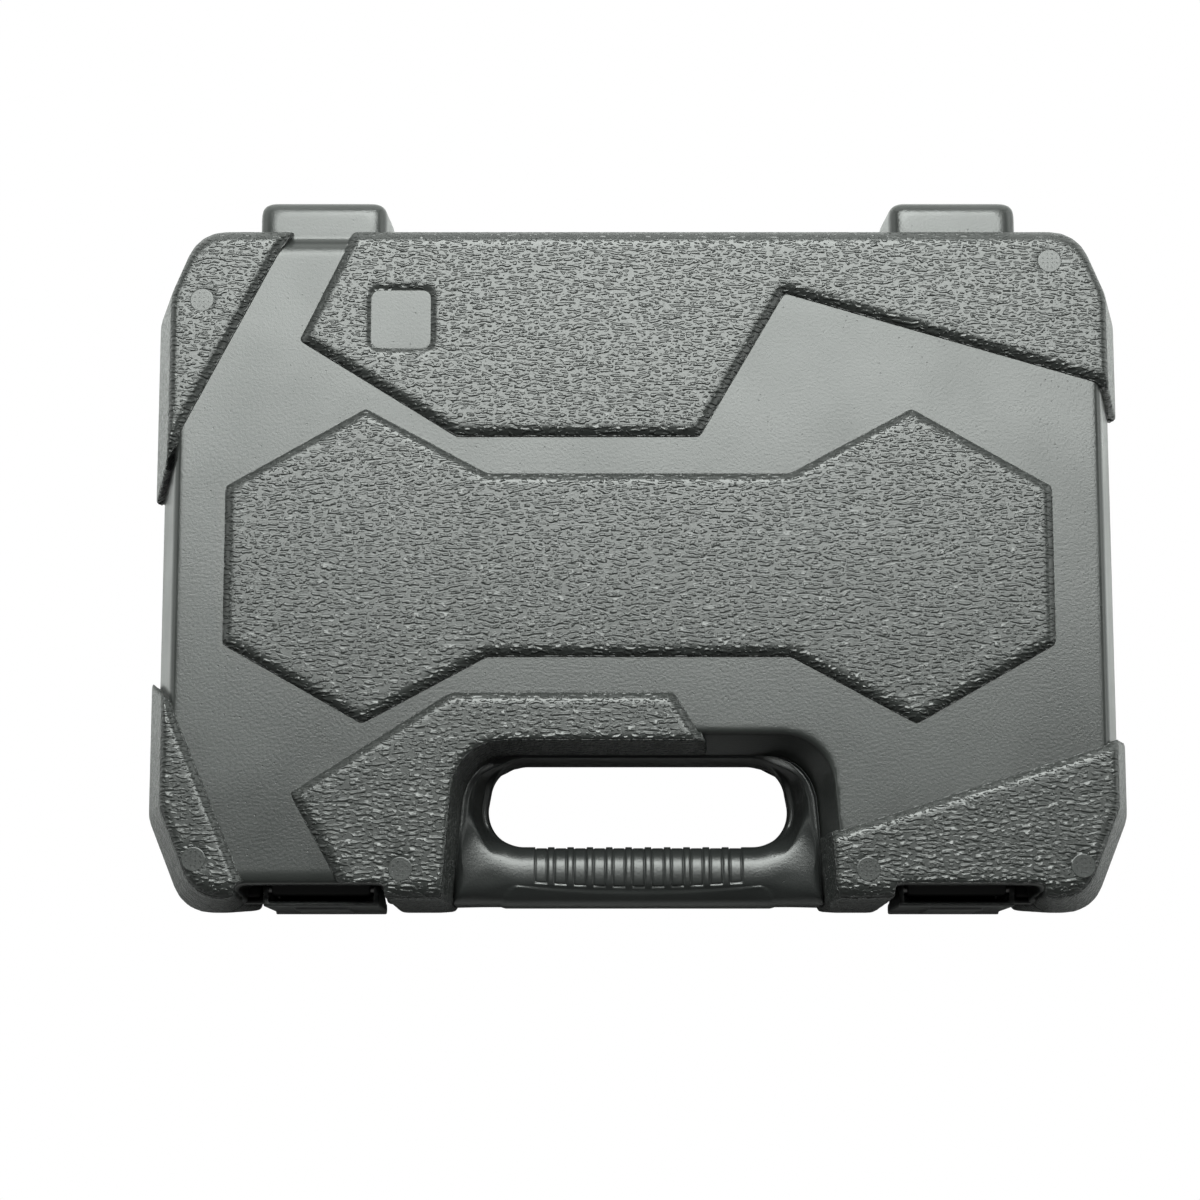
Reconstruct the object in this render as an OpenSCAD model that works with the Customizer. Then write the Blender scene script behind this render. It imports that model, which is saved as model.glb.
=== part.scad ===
// Blow-moulded hard tool case: two double-walled halves on rear hinge lugs,
// two pivoting front latches and a carrying handle split between the halves.
// Origin: centre of the underside. +X right, +Y to the hinges, +Z up.
// Each half is drawn with height 0 on the parting plane, then placed or mirrored.

/* [Case] */
// Width over the corner panels
case_width = 353; // [340:1:380]
// Depth from the front feet to the rear wall, hinge lugs left out
case_depth = 243.5; // [240:0.5:262]
// Thickness of the closed case
case_height = 90; // [84:1:110]
// Wall of the outer skin
wall = 2.2; // [1.6:0.1:2.8]
// Gap left between the two rims
rim_gap = 0.4; // [0.2:0.1:0.8]
// How far each side leans in from the rim to the face
side_draft = 3; // [1:0.5:4]
// How much further the left and right ends lean in
end_lean = 7.7; // [0:0.1:9]
// Rounding between the front and rear walls and the face
edge_radius = 6; // [4:0.5:8]
// Rounding between the left and right ends and the face
end_radius = 1.5; // [1:0.5:4]
// How far the rear corners are cut in from the side
rear_cut = 11; // [9:0.5:14]
// Length of the rear corner cuts along the side
rear_cut_length = 26.5; // [24:0.5:32]
// How far the front corners are cut in from the side
front_cut = 13.5; // [12:0.5:16]
// Length of the front corner cuts along the side
front_cut_length = 33.5; // [30:0.5:38]
// Rounding of the plan corners
corner_radius = 14; // [8:1:16]

/* [Grained panels] */
// How far the grained panels stand proud of the smooth skin
panel_height = 3; // [2:0.5:4]
// Width of the sloping edge round each panel
panel_bevel = 3.4; // [2.4:0.2:4]
// Distance of the centre panel's middle from the front feet
centre_panel_y = 119.5; // [117:0.5:122]
// Length of the centre panel
centre_panel_length = 293; // [270:1:295]
// Height of the centre panel's two ends
centre_panel_end = 57; // [50:1:64]
// Spacing of its two broad points
centre_panel_points = 193; // [180:1:200]
// Height over the broad points
centre_panel_peak = 114; // [108:1:116]
// Length of the narrow waist
centre_panel_waist = 106; // [96:1:112]
// Height of the narrow waist
centre_panel_neck = 67; // [60:1:72]
// Gap between the waist of the centre panel and the rear panel
panel_gap = 11.4; // [9:0.2:13]
// Side of the square plate sunk in the lid's rear panel
plate_size = 23.4; // [18:0.2:26]
// Depth of that plate
plate_depth = 1.2; // [0.6:0.1:1.6]
// Radius of the round vent marks
vent_radius = 4.7; // [3.5:0.1:5.5]
// Depth of the round vent marks
vent_depth = 0.4; // [0.2:0.1:0.8]

/* [Handle] */
// Half width of the handle cut-out at the front
notch_front = 66; // [64:0.5:68]
// Half width of the handle cut-out at its back
notch_back = 61.5; // [60:0.5:63]
// Depth of the handle cut-out from the front feet
notch_depth = 54.9; // [53:0.1:57]
// Width of the finger opening
opening_width = 107; // [100:1:110]
// Depth from the grip to the back of the cut-out
opening_depth = 31.8; // [30:0.2:33]
// Height of one half of the grip
grip_height = 17; // [14:0.5:19]
// Number of grip ribs
rib_count = 10; // [6:1:12]
// Spacing of the grip ribs
rib_pitch = 6.9; // [6:0.1:7.2]
// Width of one grip rib
rib_width = 3; // [2:0.1:3.6]
// Height of one grip rib
rib_height = 0.8; // [0.4:0.1:1]

/* [Latches] */
// Distance of each latch from the middle of the case
latch_x = 111.5; // [110:0.5:113]
// Width of a latch
latch_width = 40.5; // [36:0.5:42]
// Wall of a latch
latch_wall = 1.8; // [1.4:0.1:2.2]
// Width of the channel that a latch sits in
channel_width = 51.4; // [50:0.2:52]
// How far the channel lies to the outside of its latch
channel_shift = 2.3; // [1:0.1:3]
// Depth of the channel from the front feet
channel_depth = 10; // [9.6:0.1:11]
// Height of the latch pins above the parting plane
latch_pin_height = 22; // [18:0.5:26]
// Radius of the latch pins
latch_pin_radius = 1.25; // [1:0.05:1.4]
// Drop from the parting plane to the latch hook
hook_drop = 15; // [12:0.5:20]
// Thickness of the catch rib above the hook
catch_height = 3.6; // [2.5:0.1:5]
// Width of the catch rib
catch_width = 36; // [20:1:36]
// Width of the raised tab on a latch
tab_width = 19; // [14:1:24]

/* [Hinges] */
// Distance of each hinge lug from the middle of the case
lug_x = 113; // [108:0.5:118]
// Width of a hinge lug
lug_width = 47; // [42:0.5:52]
// How far a hinge lug stands behind the rear wall
lug_depth = 10.5; // [10.5:0.5:14]
// Drop from the smooth face to the top of a lug
lug_drop = 4; // [3:0.5:8]
// Radius of the hinge pins
hinge_pin_radius = 1.5; // [1.25:0.05:2]
// Radius of the hinge barrels
barrel_radius = 4.4; // [4:0.1:4.8]
// Length of the lid's middle barrel
barrel_length = 17; // [12:0.5:20]
// Slope of the two lug faces that meet when the lid is open
stop_angle = 50; // [50:1:54]

/* [Liners] */
// Wall of the inner skins
liner_wall = 2; // [1.5:0.1:2.5]
// Depth of the storage wells in the base
base_well_depth = 32; // [20:1:33]
// Depth of the storage wells in the lid
lid_well_depth = 26; // [16:1:33]
// Rounding of the wells in plan
well_radius = 9; // [5:1:12]
// Lean of the well walls over their depth
well_draft = 3; // [1:0.5:4]
// Margin between the wells and the outside of the case
well_margin = 21; // [20:0.5:26]
// Rib between two neighbouring wells
well_rib = 11; // [9:0.5:16]
// Width of the side well
side_well_width = 98; // [70:1:120]
// Depth of the two front pockets, front to back
pocket_depth = 38; // [30:1:42]

/* [Hidden] */
$fn = 48;

fit = 0.05;          // radial clearance of a running pin
clearance = 0.4;     // gap between pieces that pass each other
past = 30;           // how far cutting shapes run past the skin

half = case_height / 2;
side = case_width / 2;
front = -(case_depth + lug_depth) / 2;
rear = front + case_depth;
back = rear + lug_depth;
rim = rim_gap / 2;
face = half - panel_height;

// ---------- outlines: lists of plan points, anticlockwise ----------

function unit(v) = v / norm(v);
function item(p, i) = p[(i + len(p)) % len(p)];
function cross2(a, b, c) = (b.x - a.x) * (c.y - a.y) - (b.y - a.y) * (c.x - a.x);

// The outline moved in by d, with sharp corners; a negative d moves it out
function inset(p, d) = [
    for (i = [0 : len(p) - 1])
        let (
            u = unit(p[i] - item(p, i - 1)),
            v = unit(item(p, i + 1) - p[i]),
            m = [-u.y, u.x],
            n = [-v.y, v.x]
        )
        p[i] + (m + n) * d / (1 + m * n)
];

// The outline with each corner turned into an arc of the given radius
function rounded(p, radius, steps = 4) = [
    for (i = [0 : len(p) - 1])
        let (
            before = p[i] - item(p, i - 1),
            after = item(p, i + 1) - p[i],
            u = unit(before),
            v = unit(after),
            turn = atan2(u.x * v.y - u.y * v.x, u * v),
            wanted = radius * tan(abs(turn) / 2),
            reach = min(wanted, 0.45 * norm(before), 0.45 * norm(after)),
            r = reach / tan(abs(turn) / 2),
            s = sign(turn),
            centre = p[i] - u * reach + [-u.y, u.x] * s * r,
            start = atan2(u.y, u.x) - 90 * s
        )
        for (k = [0 : steps])
            centre + r * [cos(start + turn * k / steps), sin(start + turn * k / steps)]
];

// An outline cut into triangles, one ear at a time, so that it may have bays
function holds(a, b, c, q) =
    cross2(a, b, q) > -1e-9 && cross2(b, c, q) > -1e-9 && cross2(c, a, q) > -1e-9;
function is_ear(p, ids, i) =
    let (a = p[item(ids, i - 1)], b = p[ids[i]], c = p[item(ids, i + 1)])
    cross2(a, b, c) > 1e-7
    && len([for (k = ids) if (p[k] != a && p[k] != b && p[k] != c && holds(a, b, c, p[k])) k]) == 0;
function first_ear(p, ids, i = 0) =
    i >= len(ids) ? 0 : is_ear(p, ids, i) ? i : first_ear(p, ids, i + 1);
function ears(p, ids, done = []) =
    len(ids) < 3 ? done
    : let (i = first_ear(p, ids))
      ears(
          p,
          [for (k = [0 : len(ids) - 1]) if (k != i) ids[k]],
          concat(done, [[item(ids, i - 1), ids[i], item(ids, i + 1)]])
      );

// A solid through rings of [outline, height], all with as many points
module loft(rings) {
    n = len(rings[0][0]);
    last = len(rings) - 1;
    top = last * n;
    points = [for (ring = rings) for (p = ring[0]) [p.x, p.y, ring[1]]];
    sides = [
        for (k = [0 : last - 1], i = [0 : n - 1])
            let (a = k * n + i, b = k * n + (i + 1) % n)
            each [[a, a + n, b + n], [a, b + n, b]]
    ];
    ids = [for (i = [0 : n - 1]) i];
    floor_faces = ears(rings[0][0], ids);
    roof_faces = [for (t = ears(rings[last][0], ids)) [top + t[2], top + t[1], top + t[0]]];
    polyhedron(points, concat(sides, floor_faces, roof_faces), convexity = 10);
}

// A profile of [y, height] points drawn out along X, centred on x
module along_x(profile, width, x = 0)
    translate([x - width / 2, 0, 0])
        rotate([90, 0, 90])
            linear_extrude(width) polygon(profile);

module rod(radius, length, x, y, z)
    translate([x - length / 2, y, z])
        rotate([0, 90, 0]) cylinder(r = radius, h = length);

// ---------- outer form of one half ----------

case_outline = [
    [side - front_cut, front], [side, front + front_cut_length],
    [side, rear - rear_cut_length], [side - rear_cut, rear],
    [-side + rear_cut, rear], [-side, rear - rear_cut_length],
    [-side, front + front_cut_length], [-side + front_cut, front]
];

// The outline with its left and right ends moved in by d
function narrowed(p, d) = [for (q = p) [q.x - sign(q.x) * d, q.y]];

// The case's own form, grown by g: 0 is the smooth skin, panel_height the
// crest of the panels and -wall the inside of the skin
module form(g, bottom = rim) {
    top = face + g;
    first = panel_height - g;
    lean = side_draft * (top - edge_radius) / half;
    shoulder = [
        for (a = [0 : 22.5 : 90])
            [lean + edge_radius * (1 - cos(a)), top - edge_radius + edge_radius * sin(a), 1 - cos(a)]
    ];
    loft([
        for (s = concat([[side_draft * bottom / half, bottom, 0]], shoulder))
            let (
                narrowing = end_lean * s[1] / half - (edge_radius - end_radius) * s[2],
                level = narrowed(inset(case_outline, first + s[0]), narrowing)
            )
            [rounded(level, corner_radius), s[1]]
    ]);
}

// ---------- handle cut-out and latch channels ----------

notch_y = front + notch_depth;
arm_height = grip_height;
notch_edge = 5.4;    // how far the cut-out's walls slope back above the arms
notch_radius = 18;   // rounding of the cut-out's inner corners
lining_foot = 0.6;   // thickness of the grained lining where it meets the arms
notch_lean = (notch_front - notch_back) / notch_depth;
notch_outline = [
    [-notch_front - past * notch_lean, front - past],
    [notch_front + past * notch_lean, front - past],
    [notch_back, notch_y], [-notch_back, notch_y]
];

// The cut-out, grown by one amount at the face and by another beside the arms
module notch(grow = 0, grow_low = 0) {
    rise = (face + past - arm_height) / (face - arm_height);
    top_grow = grow_low + (grow + notch_edge - grow_low) * rise;
    loft([
        for (s = [[grow_low, -2], [grow_low, arm_height], [top_grow, face + past]])
            [rounded(inset(notch_outline, -s.x), notch_radius, 6), s.y]
    ]);
}

channel_y = front + channel_depth;

mouth_depth = 3.6;   // how far the rounded mouth of a channel reaches in
mouth_flare = 2;     // how much faster the mouth opens on its outer side
lip_height = 32;     // height above which the skin laps over the back of a channel
lip_reach = 2;       // how far it laps over
side_gap = 0.8;      // room on each side of a latch in a close channel

// The channels of the latches. The base's skin keeps close to its latches, the
// lid's skin and the panels leave room for a finger on their outer side.
module channels(grow = 0, close = false) {
    width = close ? latch_width + 2 * side_gap : channel_width;
    inner = latch_x + (close ? 0 : channel_shift) - width / 2 - grow;
    outer = inner + width + 2 * grow;
    mouth = front + mouth_depth + grow;
    run = mouth - front + past;
    for (hand = [0, 1], s = [[lip_height + grow, 0], [half + past, lip_reach]])
        mirror([hand, 0, 0])
            translate([0, 0, -2])
                linear_extrude(s[0] + 2)
                    polygon([
                        [inner - run, front - past], [outer + mouth_flare * run, front - past],
                        [outer, mouth], [outer, channel_y - s[1] + grow],
                        [inner, channel_y - s[1] + grow], [inner, mouth]
                    ]);
}

module cut_outs(grow, of_lid) {
    notch(grow, grow);
    channels(grow, !of_lid);
}

// ---------- hinge lugs and barrels ----------

axis_y = back - barrel_radius - 0.9;
lug_top = face - lug_drop;
lug_root = rear - panel_height - side_draft - 1.5 * wall;
lug_edge = 5;        // rounding of a lug's top
lug_lean = 0.8;      // how far a lug leans in from its foot to its top
lug_hollow = 9.4;    // height at which a lug's hollow and its leaning sides start

module lug_form(x, grow = 0, bottom = rim) {
    outline = [
        [x + lug_width / 2, lug_root], [x + lug_width / 2, back],
        [x - lug_width / 2, back], [x - lug_width / 2, lug_root]
    ];
    top = lug_top + grow;
    shoulder = [
        for (a = [0 : 22.5 : 90])
            [lug_lean + lug_edge * (1 - cos(a)) - grow, top - lug_edge + lug_edge * sin(a)]
    ];
    loft([
        for (s = concat([[-grow, bottom], [-grow, lug_hollow]], shoulder))
            let (o = rounded(inset(outline, s.x), 4, 4))
            [[for (p = o) [p.x, max(p.y, lug_root)]], s.y]
    ]);
}

outer_barrel = (lug_width - barrel_length) / 2 - clearance - 1.6;
pin_length = barrel_length + 2 * clearance + 2 * outer_barrel;

// The barrels that one half carries: the lid has the middle one of each lug
module barrels(x, of_lid, grow = 0) {
    if (of_lid) rod(barrel_radius + grow, barrel_length + 2 * grow, x, axis_y, 0);
    shift = (barrel_length + outer_barrel) / 2 + clearance;
    if (!of_lid)
        for (s = [-1, 1])
            rod(barrel_radius + grow, outer_barrel + 2 * grow, x + s * shift, axis_y, 0);
}

// The wedge cut away behind the hinge axis, so that the lid can swing
module stop_wedge(x)
    along_x([
        [axis_y - clearance, -2], [axis_y + past, -2],
        [axis_y + past, past * tan(stop_angle)], [axis_y - clearance, 0]
    ], lug_width + 4, x);

// ---------- latch knuckles and catches ----------

latch_pin_y = channel_y - 2.9;
knuckle_radius = 2.5;
knuckle_length = latch_width - 2 * latch_wall - 2 * clearance;
catch_reach = 5.4;

// Barrel in the lid's channel that carries the latch pin
module knuckle(x) {
    rod(knuckle_radius, knuckle_length, x, latch_pin_y, latch_pin_height);
    translate([x - knuckle_length / 2, latch_pin_y, latch_pin_height - knuckle_radius])
        cube([knuckle_length, channel_y + wall / 2 - latch_pin_y, 2 * knuckle_radius]);
}

// Rib in the base's channel that the latch hook snaps behind
module catch(x) {
    top = hook_drop - clearance;
    along_x([
        [channel_y + wall / 2, top], [channel_y - catch_reach, top],
        [channel_y - catch_reach, top - catch_height / 2],
        [channel_y, top - catch_height], [channel_y + wall / 2, top - catch_height]
    ], catch_width, x);
}

// ---------- outer shells ----------

module shell(of_lid) {
    bore = hinge_pin_radius + (of_lid ? fit : 0);
    difference() {
        union() {
            difference() {
                union() {
                    form(0);
                    for (hand = [-1, 1]) lug_form(hand * lug_x);
                }
                cut_outs(0, of_lid);
                difference() {
                    form(-wall, -2);
                    cut_outs(wall, of_lid);
                }
                for (hand = [-1, 1]) {
                    lug_form(hand * lug_x, -wall, lug_hollow);
                    stop_wedge(hand * lug_x);
                    barrels(hand * lug_x, !of_lid, clearance);
                }
            }
            for (hand = [-1, 1]) {
                barrels(hand * lug_x, of_lid);
                if (of_lid) knuckle(hand * latch_x);
                if (!of_lid) catch(hand * latch_x);
            }
        }
        for (hand = [-1, 1]) {
            rod(bore, lug_width + 8, hand * lug_x, axis_y, 0);
            if (of_lid) rod(latch_pin_radius, latch_width, hand * latch_x, latch_pin_y, latch_pin_height);
        }
    }
}

// ---------- liners: the inner skins with their storage wells ----------

well_left = -side + well_margin;
well_rear = rear - well_margin;
pocket_front = front + well_margin;
pocket_rear = pocket_front + pocket_depth;
pocket_right = -notch_front - wall - liner_wall - well_rib;
well_front = pocket_rear + well_rib;
side_well_left = side - well_margin - side_well_width;

function box_outline(x0, x1, y0, y1) = [[x0, y0], [x1, y0], [x1, y1], [x0, y1]];

main_well = box_outline(well_left, side_well_left - well_rib, well_front, well_rear);
side_well = box_outline(side_well_left, side - well_margin, well_front, well_rear);
wide_well = box_outline(well_left, side - well_margin, well_front, well_rear);
left_pocket = box_outline(well_left, pocket_right, pocket_front, pocket_rear);
right_pocket = box_outline(-pocket_right, side - well_margin, pocket_front, pocket_rear);

module well(outline, depth, grow, bottom) {
    rounding = 3;
    loft([
        for (s = [[0, bottom], [well_draft, depth - rounding], [well_draft + rounding, depth]])
            [rounded(inset(outline, s.x - grow), well_radius), s.y + (s.y == bottom ? 0 : grow)]
    ]);
}

module liner(of_lid, wells, depth)
    difference() {
        union() {
            intersection() {
                difference() {
                    form(-wall, rim);
                    cut_outs(wall, of_lid);
                }
                translate([-case_width, -case_width, 0])
                    cube([2 * case_width, 2 * case_width, rim + liner_wall]);
            }
            for (w = wells) well(w, depth, liner_wall, rim);
        }
        for (w = wells) well(w, depth, 0, -2);
    }

// ---------- handle: one half of the grip and its two arms ----------

grip_front = front + 1;
grip_back = notch_y - opening_depth;
collar = 1.2;          // thin edge left round the back of the finger opening
opening_lean = 2.8;    // how far each side of the opening leans in towards its back
opening_corner = 13;
opening_flare = 8;     // how far the arms slope back to their top
rim_strip = 4;         // height of the upright edge below that slope

// Section of the grip as [y, height] points, with rounded shoulders
function grip_section(grow = 0) =
    let (r = 8, top = grip_height + grow)
    concat(
        [[grip_back + grow / 2, rim]],
        [for (a = [0 : 15 : 90]) [grip_back - r + (r + grow / 2) * cos(a), top - r + r * sin(a)]],
        [for (a = [90 : 15 : 180]) [grip_front + r + (r + grow / 2) * cos(a), top - r + r * sin(a)]],
        [[grip_front - grow / 2, rim]]
    );

// The finger opening, narrower at its back, with sides that lean out upwards
module opening() {
    back_edge = notch_y - collar;
    outline = [
        [-opening_width / 2 - opening_lean, grip_back], [opening_width / 2 + opening_lean, grip_back],
        [opening_width / 2 - opening_lean, back_edge], [-opening_width / 2 + opening_lean, back_edge]
    ];
    loft([
        for (s = [[0, -2], [0, rim_strip], [opening_flare, arm_height + 1]])
            [rounded(inset(outline, -s.x), opening_corner, 6), s.y]
    ]);
}

module handle_half() {
    intersection() {
        notch();
        union() {
            along_x(grip_section(), 2 * notch_front);
            difference() {
                translate([-notch_front, grip_back - opening_flare, rim])
                    cube([2 * notch_front, notch_depth, arm_height - rim]);
                opening();
            }
        }
    }
    for (i = [0 : rib_count - 1])
        along_x(grip_section(rib_height), rib_width, (i - (rib_count - 1) / 2) * rib_pitch);
}

// ---------- grained panels ----------

panel_middle = centre_panel_y + front;
centre_points = [
    [centre_panel_length, centre_panel_end] / 2,
    [centre_panel_points, centre_panel_peak] / 2,
    [centre_panel_waist, centre_panel_neck] / 2
];
centre_outline = [
    for (q = [[1, 1], [-1, 1], [-1, -1], [1, -1]])
        for (i = q.x * q.y > 0 ? [0, 1, 2] : [2, 1, 0])
            [q.x * centre_points[i].x, panel_middle + q.y * centre_points[i].y]
];

// The rear panel starts past the centre panel's waist and shares the room behind it
rear_panel_y = panel_middle + centre_panel_neck / 2 + panel_gap;
function rear_share(part) = rear_panel_y + part * (rear - rear_panel_y);
rear_outline = [
    [-side + 55, rear_share(0.45)], [-side + 112.1, rear_panel_y], [side - 154.5, rear_panel_y],
    [side - 124.1, rear_share(0.66)], [side - 14.3, rear_share(0.25)], [side + past, rear_share(0.09)],
    [side + past, rear + past], [-side + 90.3, rear + past]
];
rear_corner_outline = [
    [-side + 9.5, rear - 87.9], [-side + 65.7, rear + past * 0.7], [-side - past, rear + past * 0.7],
    [-side - past, rear - 87.9 - past]
];
front_corner_outline = [
    [-side - past, front - past], [-side + 56.9, front - past], [-side + 14, front + 71],
    [-side - past, front + 110]
];
handle_outline = [
    [-side + 73.5, front + 5], [-side + 85.5, front - past], [-notch_back + 6.5, front - past],
    [-notch_back + 6.5, notch_y - 7], [29, notch_y - 7], [12.6, notch_y + 20.4],
    [-66.1, notch_y + 20.4], [-side + 54.2, front + 39.7]
];
latch_outline = [
    [notch_back - 6.5, front - past], [side + past, front - past],
    [side + past, front + 70.5], [side - 12.8, front + 57.4], [notch_back - 6.5, front + 22.7]
];

vents = [
    [-side + 21.5, rear - 29.1], [side - 30.2, rear - 14.8], [-side + 22.8, front + 16.3],
    [-notch_front - 16.4, front + 12.9], [notch_front + 12.8, front + 12.9], [side - 23.8, front + 14]
];
plate_centre = [-side + 92.3, rear - 35.9];

// A panel is the layer between the smooth skin and the crest, cut to its outline.
// The front ones also line the sloping walls of the handle cut-out, thinner
// towards the arms.
module panel(outline, at_rear = false, at_front = false, with_plate = false)
    difference() {
        intersection() {
            form(panel_height);
            loft([
                for (s = [[0, -2], [0, face], [2, half + panel_height]])
                    [inset(outline, s.x * panel_bevel), s.y]
            ]);
        }
        difference() {
            form(0, -1);
            if (at_front) notch();
        }
        if (at_front) {
            notch(-panel_height, -lining_foot);
            along_x(grip_section(), 2 * notch_front);
            translate([-notch_front, front - past, -1])
                cube([2 * notch_front, past + notch_depth + 1, 1 + arm_height]);
            channels();
        }
        if (at_rear)
            for (hand = [-1, 1]) lug_form(hand * lug_x, 0, -1);
        for (v = vents)
            translate([v.x, v.y, half - vent_depth]) cylinder(r = vent_radius, h = past);
        if (with_plate)
            translate([plate_centre.x, plate_centre.y, half - plate_depth])
                linear_extrude(past)
                    polygon(rounded(box_outline(-plate_size / 2, plate_size / 2,
                        -plate_size / 2, plate_size / 2), 3.5));
    }

// ---------- latches and pins ----------

latch_front = front + 1.2;
latch_inside = latch_front + latch_wall;
latch_top = latch_pin_height + 1.6;
latch_foot = -hook_drop - 3;
gusset_side = 3.6;   // legs of the gussets in a latch's upper corners
gusset_height = 9;
gusset_drop = 3.2;   // from the pin down to the gussets

// Outer plate with its hook, side cheeks, gussets, stiffening rib and raised tab
module latch(x)
    difference() {
        union() {
            along_x([
                [latch_inside, latch_top - 0.6], [latch_front + 0.6, latch_top],
                [latch_front, latch_top - 1], [latch_front, latch_foot + 2],
                [front + 0.1, latch_foot], [latch_inside, latch_foot],
                [channel_y - catch_reach - clearance, latch_foot + 0.8],
                [channel_y - catch_reach - clearance, -hook_drop],
                [latch_inside, -hook_drop + 0.8]
            ], latch_width, x);
            for (s = [-1, 1]) {
                cheek = x + s * (latch_width - latch_wall) / 2;
                rod(knuckle_radius, latch_wall, cheek, latch_pin_y, latch_pin_height);
                along_x([
                    [latch_pin_y, latch_pin_height + knuckle_radius - 1],
                    [latch_front + 0.6, latch_top - 0.2], [latch_front + 0.6, latch_foot + 3],
                    [latch_inside + 1, latch_foot + 3],
                    [channel_y - clearance - 1.4, -hook_drop + 12],
                    [channel_y - clearance - 1.4, latch_pin_height - 6],
                    [latch_pin_y + knuckle_radius - 0.2, latch_pin_height - 1.5]
                ], latch_wall, cheek);
            }
            for (s = [0, 1])
                translate([x, 0, latch_pin_height - gusset_drop - gusset_height])
                    mirror([s, 0, 0])
                        linear_extrude(gusset_height)
                            polygon([
                                [latch_width / 2 - latch_wall / 2, latch_inside - 0.2],
                                [latch_width / 2 - latch_wall / 2, latch_inside + gusset_side],
                                [latch_width / 2 - latch_wall - gusset_side, latch_inside - 0.2]
                            ]);
            along_x([
                [latch_front, latch_top - 3], [front + 0.1, latch_top - 4],
                [front + 0.1, latch_foot + 8], [latch_front, latch_foot + 6]
            ], tab_width, x);
            along_x([
                [latch_inside, 4], [latch_inside, 6], [latch_inside + 2, 5.4], [latch_inside + 2, 4.6]
            ], latch_width - 1, x);
        }
        rod(latch_pin_radius + fit, latch_width + 2, x, latch_pin_y, latch_pin_height);
    }

module hinge_pin(x) color("silver") rod(hinge_pin_radius, pin_length, x, axis_y, half);

module latch_pin(x)
    color("silver") rod(latch_pin_radius, latch_width, x, latch_pin_y, half + latch_pin_height);

// ---------- placing and colours ----------

module in_lid() translate([0, 0, half]) children();
module in_base() translate([0, 0, half]) mirror([0, 0, 1]) children();

skin_grey = [0.27, 0.29, 0.285];
grain_grey = [0.2, 0.215, 0.21];
trim_black = [0.08, 0.085, 0.085];

module lid_shell() color(skin_grey) in_lid() shell(true);
module base_shell() color(skin_grey) in_base() shell(false);
module lid_liner()
    color(skin_grey) in_lid() liner(true, [wide_well, left_pocket, right_pocket], lid_well_depth);
module base_liner()
    color(skin_grey)
        in_base() liner(false, [main_well, side_well, left_pocket, right_pocket], base_well_depth);
module lid_handle() color(trim_black) in_lid() handle_half();
module base_handle() color(trim_black) in_base() handle_half();

// Each half has the same six panels; only the lid's rear one has the plate
module centre_panel() panel(centre_outline);
module rear_panel(with_plate) panel(rear_outline, at_rear = true, with_plate = with_plate);
module rear_corner_panel() panel(rear_corner_outline, at_rear = true);
module front_corner_panel() panel(front_corner_outline, at_front = true);
module handle_panel() panel(handle_outline, at_front = true);
module latch_panel() panel(latch_outline, at_front = true);
module lid_panel() color(grain_grey) in_lid() children();
module base_panel() color(grain_grey) in_base() children();
module placed_latch(x) color(trim_black) in_lid() latch(x);

base_shell();
base_liner();
base_handle();
base_panel() centre_panel();  // base_panel_centre
base_panel() rear_panel(false);  // base_panel_rear
base_panel() rear_corner_panel();  // base_panel_rear_corner
base_panel() front_corner_panel();  // base_panel_front_corner
base_panel() handle_panel();  // base_panel_handle
base_panel() latch_panel();  // base_panel_latch
hinge_pin(-lug_x);  // hinge_pin_left
hinge_pin(lug_x);  // hinge_pin_right
lid_shell();
lid_liner();
lid_handle();
lid_panel() centre_panel();  // lid_panel_centre
lid_panel() rear_panel(true);  // lid_panel_rear
lid_panel() rear_corner_panel();  // lid_panel_rear_corner
lid_panel() front_corner_panel();  // lid_panel_front_corner
lid_panel() handle_panel();  // lid_panel_handle
lid_panel() latch_panel();  // lid_panel_latch
latch_pin(-latch_x);  // latch_pin_left
latch_pin(latch_x);  // latch_pin_right
placed_latch(-latch_x);  // latch_left
placed_latch(latch_x);  // latch_right
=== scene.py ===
import bmesh
import bpy
import math
import numpy as np
from mathutils import Matrix, Vector
from mathutils.bvhtree import BVHTree


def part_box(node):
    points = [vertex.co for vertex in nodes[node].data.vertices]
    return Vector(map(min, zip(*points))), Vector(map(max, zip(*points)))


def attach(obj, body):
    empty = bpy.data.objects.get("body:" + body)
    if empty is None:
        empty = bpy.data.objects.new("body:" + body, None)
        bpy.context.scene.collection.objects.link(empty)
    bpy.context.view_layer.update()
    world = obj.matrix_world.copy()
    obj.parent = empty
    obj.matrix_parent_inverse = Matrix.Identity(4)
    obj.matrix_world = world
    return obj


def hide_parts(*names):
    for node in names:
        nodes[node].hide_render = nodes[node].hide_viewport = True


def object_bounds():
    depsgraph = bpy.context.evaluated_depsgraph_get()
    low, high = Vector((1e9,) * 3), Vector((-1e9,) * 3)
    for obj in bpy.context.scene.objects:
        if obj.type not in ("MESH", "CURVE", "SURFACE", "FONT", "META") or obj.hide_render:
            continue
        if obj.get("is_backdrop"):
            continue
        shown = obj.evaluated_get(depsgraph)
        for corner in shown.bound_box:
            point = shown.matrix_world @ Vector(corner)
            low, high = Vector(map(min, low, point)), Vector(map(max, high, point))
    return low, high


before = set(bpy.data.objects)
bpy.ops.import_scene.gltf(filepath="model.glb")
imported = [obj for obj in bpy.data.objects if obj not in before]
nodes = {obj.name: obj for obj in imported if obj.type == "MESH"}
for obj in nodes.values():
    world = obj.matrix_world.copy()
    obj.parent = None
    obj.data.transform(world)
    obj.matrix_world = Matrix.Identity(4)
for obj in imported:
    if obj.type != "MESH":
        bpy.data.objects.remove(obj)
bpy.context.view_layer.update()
mm = 0.001
halfHeight = 45
partingPlane = halfHeight * mm
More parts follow.
